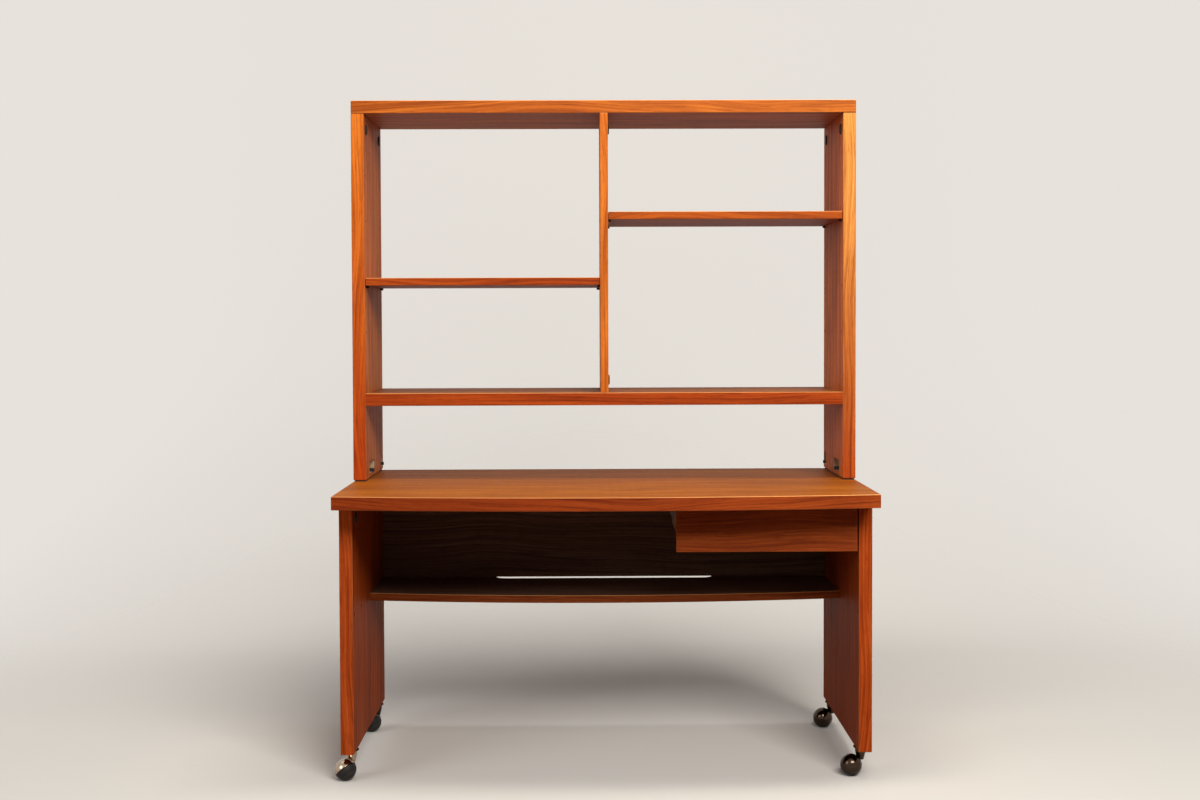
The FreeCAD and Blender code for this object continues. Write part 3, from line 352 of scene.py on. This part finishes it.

# %% [markdown]
# ## Strips with painted light and shade
#
# On this desk the edge strips are paler high up and to the right, and redder low down, where the light falls
# weaker. This light and shade is painted into the strips. A lamp could do that too, but it would light the
# faces as well. So some strips get one more tone, a painted light and shade that runs along the board from
# one place to another, and the faces keep theirs.

# %% A tone that runs along the strip
# Where the painted change of light starts and stops along the board, and the tone before and after it.
PAINTED_STRIP_LIGHT = {
    "left_leg": (0.10, 0.68, (0.90, 0.88, 1.00), (1.13, 1.18, 1.35)),
    "hutch_left_side": (0.76, 1.69, (0.85, 0.55, 0.60), (1.06, 1.28, 1.45)),
    "hutch_right_side": (0.76, 1.69, (0.77, 0.44, 0.36), (1.18, 1.72, 2.20)),
    "hutch_top": (-0.10, 0.64, (1.02, 1.02, 1.10), (1.15, 1.26, 1.36)),
    "desktop": (0.10, 0.66, (0.97, 0.94, 0.97), (1.34, 1.52, 1.60)),
}


# Painted light and shade: the strip is painted lighter towards one end of the board and darker towards the
# other.
def add_painted_strip_light(finish, along, start, stop, first_tone, last_tone):
    _, spot = finish.place()
    way = spot[AXES.index(along)].above((start + stop) / 2, (stop - start) / 2)
    tone = finish.blend(way, (*first_tone, 1), (*last_tone, 1))
    strip = strip_mask(finish.facing(), along)
    finish.set(Base_Color=finish.tint(strip, finish.base_color(), tone))


# Painted light and shade along the strips of these boards.
for board, how in PAINTED_STRIP_LIGHT.items():
    add_painted_strip_light(wood[board], BOARDS[board][0], *how)
print(len(PAINTED_STRIP_LIGHT), "boards have bleached strips")

# %% [markdown]
# ## Painted shade in holes, raw chipboard and a painted shadow at a joint
#
# The walls of drilled holes get a painted shade, nearly black. They face across a board, yet lie inside its
# outline. At the feet of the shelf unit a cutter has opened pockets in the inner faces, where the clamp bolts
# are turned by hand. The veneer ends there and the pale core shows: pressed chips of many sizes. The pocket
# is part of the same solid as the side, so its finish is mixed in by place, deeper than the veneer. Where the
# sides meet the top board, a thin dark line is painted: a painted shadow of the joint.

# %% Where the veneer is cut away
POCKET_HEIGHTS = (0.7430, 0.7750)
POCKET_SPANS = ((0.0940, 0.1820), (0.3060, 0.3320))
POCKET_DEPTH, VENEER = 0.0170, 0.0008
SLACK, JOINT_LINE = 0.0003, 0.0018
CHIPS = 420.0
DARK_CHIP, PALE_CHIP = (0.30, 0.19, 0.11, 1), (0.58, 0.42, 0.28, 1)
# A painted shadow: the tint of the thin dark line where the sides meet the top board.
JOINT_SHADOW_TINT = (0.30, 0.20, 0.15, 1)
# The next line starts with the painted shade for the walls of holes, nearly black.
HOLE_SHADE, OUTLINE, SIDEWAYS = (0.020, 0.007, 0.003, 1), 0.004, (0.5, 0.1)


def between(value, low, high):
    return value.above(low - SLACK, SLACK / 2) * (1 - value.above(high + SLACK, SLACK / 2))


# Painted shade: the walls of holes inside a board's outline are painted nearly black.
def add_painted_hole_shade(finish, board):
    low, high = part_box(board)
    _, (_, y, z) = finish.place()
    inside = between(y, low.y + OUTLINE, high.y - OUTLINE) * between(z, low.z + OUTLINE, high.z - OUTLINE)
    wall = 1 - finish.facing()[0].size().above(*SIDEWAYS)
    finish.set(Base_Color=finish.blend(inside * wall, finish.base_color(), HOLE_SHADE))


def add_chipboard(finish, inner_face):
    here, (x, y, z) = finish.place()
    deep = between(x.size(), inner_face + VENEER, inner_face + POCKET_DEPTH)
    wide = between(y, *POCKET_SPANS[0]) + between(y, *POCKET_SPANS[1])
    pocket = deep * wide * between(z, *POCKET_HEIGHTS)
    chips = finish.node("ShaderNodeTexVoronoi", None, {"Vector": here, "Scale": CHIPS}, out="Color")
    raw = finish.blend(finish.split(chips)[0], DARK_CHIP, PALE_CHIP)
    finish.set(Base_Color=finish.blend(pocket, finish.base_color(), raw))


# Painted shadow: a thin dark line at the top end of a side, where it meets the top board.
def add_painted_joint_shadow(finish, height):
    _, (_, _, z) = finish.place()
    line = z.above(height - JOINT_LINE, SLACK)
    finish.set(Base_Color=finish.tint(line, finish.base_color(), JOINT_SHADOW_TINT))


inner_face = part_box("right_leg")[0].x
joint_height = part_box("hutch_top")[0].z
for board in ("left_leg", "right_leg", "hutch_divider", "hutch_left_side", "hutch_right_side"):
    add_painted_hole_shade(wood[board], board)
for side in ("hutch_left_side", "hutch_right_side"):
    add_chipboard(wood[side], inner_face)
    add_painted_joint_shadow(wood[side], joint_height)
print("pockets of raw chipboard from", round(inner_face, 4), "m outwards")

# %% [markdown]
# ## Pale wood inside
#
# Drawer sides, back and bottom are plain light wood, and so are the loose tongues that lock the boards
# together. Such wood has little figure, so two of the stretched noises are enough, with a paler ramp.

# %% Pale wood
PALE = [
    (0.25, (0.42, 0.25, 0.125)),
    (0.55, (0.58, 0.38, 0.21)),
    (0.85, (0.70, 0.50, 0.31)),
]
PALE_STREAK_SHARE, PALE_FIBRE_SHARE = 0.75, 0.25
PALE_ROUGH, PALE_FIBRE_ROUGH, PALE_RELIEF = 0.52, 0.2, (0.08, 0.0005)


def pale_wood(name, along, shift):
    finish = Finish(name)
    place, _ = grain_place(finish, along, shift)
    streak = marks(finish, place, "pale streak")
    fibre = marks(finish, place, "pale fibre")
    level = streak * PALE_STREAK_SHARE + fibre * PALE_FIBRE_SHARE
    color = finish.node("ShaderNodeValToRGB", {"stops": PALE}, {0: level})
    finish.set(Base_Color=color, Roughness=PALE_ROUGH + fibre * PALE_FIBRE_ROUGH)
    finish.bump(fibre, *PALE_RELIEF)
    return finish


pale_sides = pale_wood("pale_drawer_sides", "Y", 1.3)
pale_across = pale_wood("pale_drawer_back", "X", 4.6)
print("pale wood for the drawer and the tongues")

# %% [markdown]
# ## Paint and zinc
#
# The drawer hangs on two channels of pressed sheet with a thin coat of grey paint, which shows fine scuffs.
# Cam bolts, screws, foot plates and axles are zinc plated: brighter, but clouded.
#
# Paint, metal, rubber and plastic have no grain. The stretched noise of the wood would look brushed on them,
# so their marks are noise that is the same in all directions.

# %% Painted and plated steel
# Spots per metre, then the detail and roughness of the noise.
SPOTS = {
    "paint cloud": (9.0, 3.0),
    "paint scuff": (240.0, 4.0, 0.7),
    "paint bumps": (900.0, 2.0),
    "zinc cloud": (160.0, 3.0),
    "chrome smear": (55.0, 4.0, 0.6),
    "chrome pit": (1500.0, 2.0),
    "rubber dust": (260.0, 4.0, 0.65),
    "plastic cloud": (90.0, 3.0),
    "plastic bumps": (1400.0, 2.0),
}
GREY_PAINT, WORN = (0.34, 0.32, 0.30), 0.72
SCUFFS, CLOUD_WEAR, SCUFF_WEAR = (0.66, 0.05), 0.3, 0.3
PAINT_ROUGH, CLOUD_ROUGH, SCUFF_ROUGH, PAINT_RELIEF = 0.38, 0.14, 0.12, (0.06, 0.0002)
DULL_ZINC, BRIGHT_ZINC = (0.46, 0.46, 0.47, 1), (0.70, 0.69, 0.67, 1)
ZINC_ROUGH, ZINC_CLOUD_ROUGH = 0.26, 0.18


def painted_steel(name, color):
    finish = Finish(name)
    here, _ = finish.place()
    cloud = finish.noise(here, *SPOTS["paint cloud"])
    scuff = finish.noise(here, *SPOTS["paint scuff"]).above(*SCUFFS)
    worn = tuple(part * WORN for part in color)
    paint = finish.blend(cloud * CLOUD_WEAR + scuff * SCUFF_WEAR, (*color, 1), (*worn, 1))
    finish.set(Base_Color=paint, Roughness=PAINT_ROUGH + cloud * CLOUD_ROUGH + scuff * SCUFF_ROUGH)
    finish.bump(finish.noise(here, *SPOTS["paint bumps"]), *PAINT_RELIEF)
    return finish


def plated_steel(name):
    finish = Finish(name)
    here, _ = finish.place()
    cloud = finish.noise(here, *SPOTS["zinc cloud"])
    color = finish.blend(cloud, DULL_ZINC, BRIGHT_ZINC)
    finish.set(Base_Color=color, Metallic=1.0, Roughness=ZINC_ROUGH + cloud * ZINC_CLOUD_ROUGH)
    return finish


hanger_paint = painted_steel("grey_paint", GREY_PAINT)
zinc = plated_steel("zinc_plate")
print("paint and zinc")

# %% [markdown]
# ## Chrome on a ball
#
# The hoods of the casters are all the same chrome, and their colours hold painted reflections: one is painted
# bright and the others a dark bronze.
# The solid of a hood has flat facets, and chrome would show each of them, so its finish bends the normal:
# where a facet faces nearly straight away from the middle of the ball, the normal is taken from the ball
# instead. Flat ends and rims keep their own. The same trick makes the wheels round.

# %% Chrome
# Two colours of the same chrome with painted reflections: a bright one, and a dark bronze one.
CHROME_PAINTED_BRIGHT = (0.56, 0.45, 0.35), (0.27, 0.20, 0.145)
CHROME_PAINTED_DARK = (0.066, 0.045, 0.033), (0.034, 0.023, 0.016)
PITS, SMEAR_SHARE, PIT_SHARE = (0.70, 0.03), 0.7, 0.4
CHROME_ROUGH, SMEAR_ROUGH, PIT_ROUGH = 0.07, 0.12, 0.25
ON_BALL = (0.93, 0.005)


def round_normal(finish, middle):
    """Bend the normal of a faceted ball to that of a true ball about its middle."""
    here, _ = finish.place()
    ray = finish.vector("NORMALIZE", finish.vector("SUBTRACT", here, middle))
    flat = finish.node("ShaderNodeTexCoord", out="Normal")
    on_ball = finish.vector("DOT_PRODUCT", ray, flat, out="Value").above(*ON_BALL)
    links = dict(zip(VECTOR_MIX, (on_ball, flat, ray)))
    mixed = finish.node("ShaderNodeMix", {"data_type": "VECTOR"}, links, out=MIXED_VECTOR)
    settings = {"vector_type": "NORMAL", "convert_from": "OBJECT", "convert_to": "WORLD"}
    return finish.node("ShaderNodeVectorTransform", settings, {0: mixed})


def chrome(name, bright, dull, middle=None):
    finish = Finish(name)
    here, _ = finish.place()
    smear = finish.noise(here, *SPOTS["chrome smear"])
    pit = finish.noise(here, *SPOTS["chrome pit"]).above(*PITS)
    color = finish.blend(smear * SMEAR_SHARE + pit * PIT_SHARE, (*bright, 1), (*dull, 1))
    finish.set(Base_Color=color, Metallic=1.0)
    finish.set(Roughness=CHROME_ROUGH + smear * SMEAR_ROUGH + pit * PIT_ROUGH)
    if middle is not None:
        finish.set(Normal=round_normal(finish, middle))
    return finish


# The sockets take the dark colour, a painted dark reflection.
socket_chrome = chrome("chrome_sockets", *CHROME_PAINTED_DARK)
print("chrome for the sockets")

# %% [markdown]
# ## Rubber and moulded plastic
#
# A ball wheel is a dark dome with a rubber tread, worn a little grey where it rolls. Its rings follow the
# axle, so the finish measures how far a point lies along the axle and draws the moulded steps from that. The
# joints of the CAD model tell where each ball has its middle and which way its axle points.
#
# The cam caps and shelf pins are dark brown plastic, the runners of the drawer are a lighter brown, and the
# clamp bolt heads and foot strips are black.

# %% Wheels, caps and bolt heads
TREAD_MIDDLE, TREAD_HALF, TREAD_FADE = -0.0204, 0.0035, 0.002
CAP_RIM, RIM_HALF, RIM_FADE = -0.0245, 0.0007, 0.0003
RUBBER, DUSTY_RUBBER = (0.010, 0.009, 0.009, 1), (0.030, 0.026, 0.024, 1)
WORN_TREAD, RIM_SHADE = (0.062, 0.054, 0.047, 1), (0.008, 0.008, 0.008, 1)
DUST_SHARE, TREAD_SHARE, RIM_SHARE = 0.45, 0.8, 0.8
RUBBER_ROUGH, DUST_ROUGH, CAP_SMOOTHER = 0.46, 0.22, 0.16
LIGHTER, LIFT, PLASTIC_CLOUD, PLASTIC_CLOUD_ROUGH = 1.9, 0.006, 0.5, 0.14
PLASTIC_RELIEF, DULL_SHEEN = (0.08, 0.0002), 0.22


def wheel_rubber(name, middle, axle):
    finish = Finish(name)
    here, _ = finish.place()
    along = finish.vector("DOT_PRODUCT", finish.vector("SUBTRACT", here, middle), axle, out="Value")
    tread = 1 - (along - TREAD_MIDDLE).size().above(TREAD_HALF, TREAD_FADE)
    cap = 1 - along.above(CAP_RIM, RIM_FADE)
    rim = 1 - (along - CAP_RIM).size().above(RIM_HALF, RIM_FADE)
    dust = finish.noise(here, *SPOTS["rubber dust"])
    color = finish.blend(dust * DUST_SHARE, RUBBER, DUSTY_RUBBER)
    color = finish.blend(tread * dust * TREAD_SHARE, color, WORN_TREAD)
    color = finish.blend(rim * RIM_SHARE, color, RIM_SHADE)
    finish.set(Base_Color=color, Specular_IOR_Level=DULL_SHEEN)
    finish.set(Roughness=RUBBER_ROUGH + dust * DUST_ROUGH - cap * CAP_SMOOTHER)
    finish.set(Normal=round_normal(finish, middle))
    return finish


def moulded(name, color, roughness):
    finish = Finish(name)
    here, _ = finish.place()
    cloud = finish.noise(here, *SPOTS["plastic cloud"])
    lighter = tuple(part * LIGHTER + LIFT for part in color)
    finish.set(Base_Color=finish.blend(cloud * PLASTIC_CLOUD, (*color, 1), (*lighter, 1)))
    finish.set(Roughness=roughness + cloud * PLASTIC_CLOUD_ROUGH, Specular_IOR_Level=DULL_SHEEN)
    finish.bump(finish.noise(here, *SPOTS["plastic bumps"]), *PLASTIC_RELIEF)
    return finish


cap_plastic = moulded("brown_cap_plastic", (0.024, 0.011, 0.006), 0.55)
black_plastic = moulded("black_plastic", (0.012, 0.012, 0.012), 0.36)
runner_plastic = moulded("brown_runner_plastic", (0.095, 0.055, 0.035), 0.40)
print("rubber and plastic")

# %% [markdown]
# ## Dressing the solids
#
# Each solid takes one finish. The casters come in a loop over the joints, because each ball needs a finish
# that knows its own middle.

# %% Give every solid its finish
SHARED = [
    (pale_sides, ("drawer_left_side", "drawer_right_side", "drawer_bottom")),
    (pale_across, ("drawer_back", "lower_shelf_tongues", "back_panel_tongues", "hutch_tongues")),
    (hanger_paint, ("drawer_left_hanger", "drawer_right_hanger")),
    (zinc, ("hanger_screws", "leg_cam_bolts", "hutch_cam_bolts", "foot_plates")),
    (cap_plastic, ("leg_cam_fittings", "hutch_cam_fittings", "hutch_shelf_pins")),
    (black_plastic, ("foot_bolts", "hutch_foot_strips")),
    (runner_plastic, ("drawer_left_runner", "drawer_right_runner")),
    (socket_chrome, ("caster_sockets",)),
]
dressed = []


def dress(name, finish):
    slots = nodes[name].data.materials
    slots.clear()
    slots.append(finish.material)
    dressed.append(name)


for board, finish in wood.items():
    dress(board, finish)
for finish, names in SHARED:
    for name in names:
        dress(name, finish)
print(len(dressed), "boards, fittings and drawer pieces dressed")

# %% Dress the casters
for joint in frame["joints"]:
    corner, _, motion = joint["name"].rpartition("_")
    if motion != "roll":
        continue
    middle, axle = Vector(joint["pos_m"]), Vector(joint["axis"]).normalized()
    # Painted reflection: the front left hood is painted bright, the others dark.
    metal = CHROME_PAINTED_BRIGHT if corner == "front_left" else CHROME_PAINTED_DARK
    dress(f"caster_{corner}_hood", chrome("chrome_" + corner, *metal, middle))
    dress(f"caster_{corner}_wheel", wheel_rubber("rubber_" + corner, middle, axle))
    dress(f"caster_{corner}_axle", zinc)
print(len(dressed), "of", len(nodes), "solids dressed, bare:", sorted(set(nodes) - set(dressed)))

# %% [markdown]
# ## Floor and background
#
# The desk stands on a plain pale sheet that runs up behind it. A sheet as bright as it looks would fill
# every shadow with its own light. So it is pale only when it is looked at, straight or in chrome, and gives
# back less light to the desk, in a warmer colour. Far from the desk it fades into a sky of the same pale
# colour, so no edge of it is ever seen, and from behind one looks through.

# %% A pale sheet behind and below
REACH, SHEET_BACK, BEND, SHEET_TOP, BEND_STEPS = 24.0, 2.6, 1.4, 6.0, 12
BOUNCE, PAPER = (0.17, 0.105, 0.07, 1), (0.72, 0.71, 0.70, 1)
PAPER_ROUGH, PAPER_SHEEN = 0.9, 0.1
FADE_MIDDLE, FADE_HALF = 2.0, 1.1


def pale_sheet():
    rows = [(-REACH, 0.0)]
    for step in range(BEND_STEPS + 1):
        turn = math.radians(90 * step / BEND_STEPS)
        rows.append((SHEET_BACK - BEND + BEND * math.sin(turn), BEND - BEND * math.cos(turn)))
    rows.append((SHEET_BACK, SHEET_TOP))
    points = [(x, y, z) for y, z in rows for x in (-REACH, REACH)]
    faces = [(2 * i, 2 * i + 1, 2 * i + 3, 2 * i + 2) for i in range(len(rows) - 1)]
    mesh = bpy.data.meshes.new("pale_sheet")
    mesh.from_pydata(points, [], faces)
    mesh.polygons.foreach_set("use_smooth", [True] * len(faces))
    sheet = bpy.data.objects.new("pale_sheet", mesh)
    bpy.context.scene.collection.objects.link(sheet)
    return sheet


paper = Finish("pale_sheet")
_, (x, y, _) = paper.place()
shown = paper.shown()
far = paper.vector("LENGTH", paper.join(x, y, 0.0), out="Value").above(FADE_MIDDLE, FADE_HALF)
behind = paper.node("ShaderNodeNewGeometry", out="Backfacing")
paper.set(Base_Color=paper.blend(shown, BOUNCE, PAPER), Alpha=(1 - behind) * (1 - far * shown))
paper.set(Roughness=PAPER_ROUGH, Specular_IOR_Level=PAPER_SHEEN)
sheet = pale_sheet()
sheet.data.materials.append(paper.material)
print("pale sheet laid")

# %% [markdown]
# ## Light
#
# A narrow lamp under the ceiling lights the front of the desktop and leaves the part under the shelf unit in
# shade. A large soft lamp high in front makes the front edges bright and the space under the desktop dark. A
# weak one from the left opens the shadows, and the last one is turned away from the desk, to the sheet.

# %% Lamps and sky
# Place, what it points at, width and height, watts and colour.
LAMPS = {
    "ceiling_lamp": ((0.2, -0.70, 3.5), (0.1, -0.3, 0.7), (2.0, 0.4), 52, (1.0, 0.93, 0.78)),
    "front_lamp": ((1.1, -3.3, 3.0), (0, 0.1, 1.0), (2.4, 1.4), 172, (1.0, 0.95, 0.87)),
    "left_fill": ((-3.4, -2.6, 2.4), (0, 0, 1.2), (2.0, 2.0), 40, (1.0, 0.97, 0.94)),
    "sheet_lamp": ((0, 0.5, 3.1), (0, 2.6, 1.9), (6.0, 0.5), 34, (1.0, 0.98, 0.96)),
}
SKY_COLOR, SKY_LIGHT, SKY_SHOWN = (1.0, 0.95, 0.89, 1), 0.11, 0.80


def lamp(name, place, target, size, power, color):
    light = bpy.data.lights.new(name, "AREA")
    light.shape = "RECTANGLE"
    light.size, light.size_y = size
    light.energy = power
    light.color = color
    holder = bpy.data.objects.new(name, light)
    holder.location = place
    aim = Vector(target) - Vector(place)
    holder.rotation_euler = aim.to_track_quat("-Z", "Y").to_euler()
    bpy.context.scene.collection.objects.link(holder)


for name, how in LAMPS.items():
    lamp(name, *how)
world = bpy.data.worlds.new("soft_sky")
bpy.context.scene.world = world
world.use_nodes = True
sky = Graph(world.node_tree)
background = world.node_tree.nodes["Background"]
sky.fill(background.inputs["Color"], SKY_COLOR)
sky.fill(background.inputs["Strength"], sky.shown() * (SKY_SHOWN - SKY_LIGHT) + SKY_LIGHT)
bpy.context.scene.view_settings.view_transform = "Standard"
print(len(LAMPS), "lamps hung")

# %% [markdown]
# ## The viewpoint
#
# The photograph was taken from a little above table height, almost straight from the front. Its viewpoint
# was found by fitting the straight edges of the desk: place, three small turns, focal length, and the shift
# of a frame that was cropped off centre.

# %% Camera
EYE = (-0.0404, -3.7241, 1.1346)
YAW, PITCH, ROLL = -0.0086, -0.0284, -0.0032
FOCAL_PIXELS, FRAME_WIDTH = 1432.7, 1200
SHIFT = (-0.0012, -0.0278)
SENSOR_WIDTH, FARTHEST = 36.0, 60


def viewpoint():
    right = Vector((math.cos(YAW), math.sin(YAW), 0))
    ahead = Vector((-math.sin(YAW) * math.cos(PITCH), math.cos(YAW) * math.cos(PITCH), math.sin(PITCH)))
    up = right.cross(ahead)
    tilted_right = right * math.cos(ROLL) + up * math.sin(ROLL)
    tilted_up = up * math.cos(ROLL) - right * math.sin(ROLL)
    turn = Matrix((tilted_right, tilted_up, -ahead)).transposed().to_4x4()
    return Matrix.Translation(EYE) @ turn


lens = bpy.data.cameras.new("viewpoint")
lens.sensor_width = SENSOR_WIDTH
lens.lens = SENSOR_WIDTH * FOCAL_PIXELS / FRAME_WIDTH
lens.shift_x, lens.shift_y = SHIFT
lens.clip_end = FARTHEST
camera = bpy.data.objects.new("viewpoint", lens)
camera.matrix_world = viewpoint()
bpy.context.scene.collection.objects.link(camera)
bpy.context.scene.camera = camera
print("camera at", EYE, "with a lens of", round(lens.lens, 2), "mm")
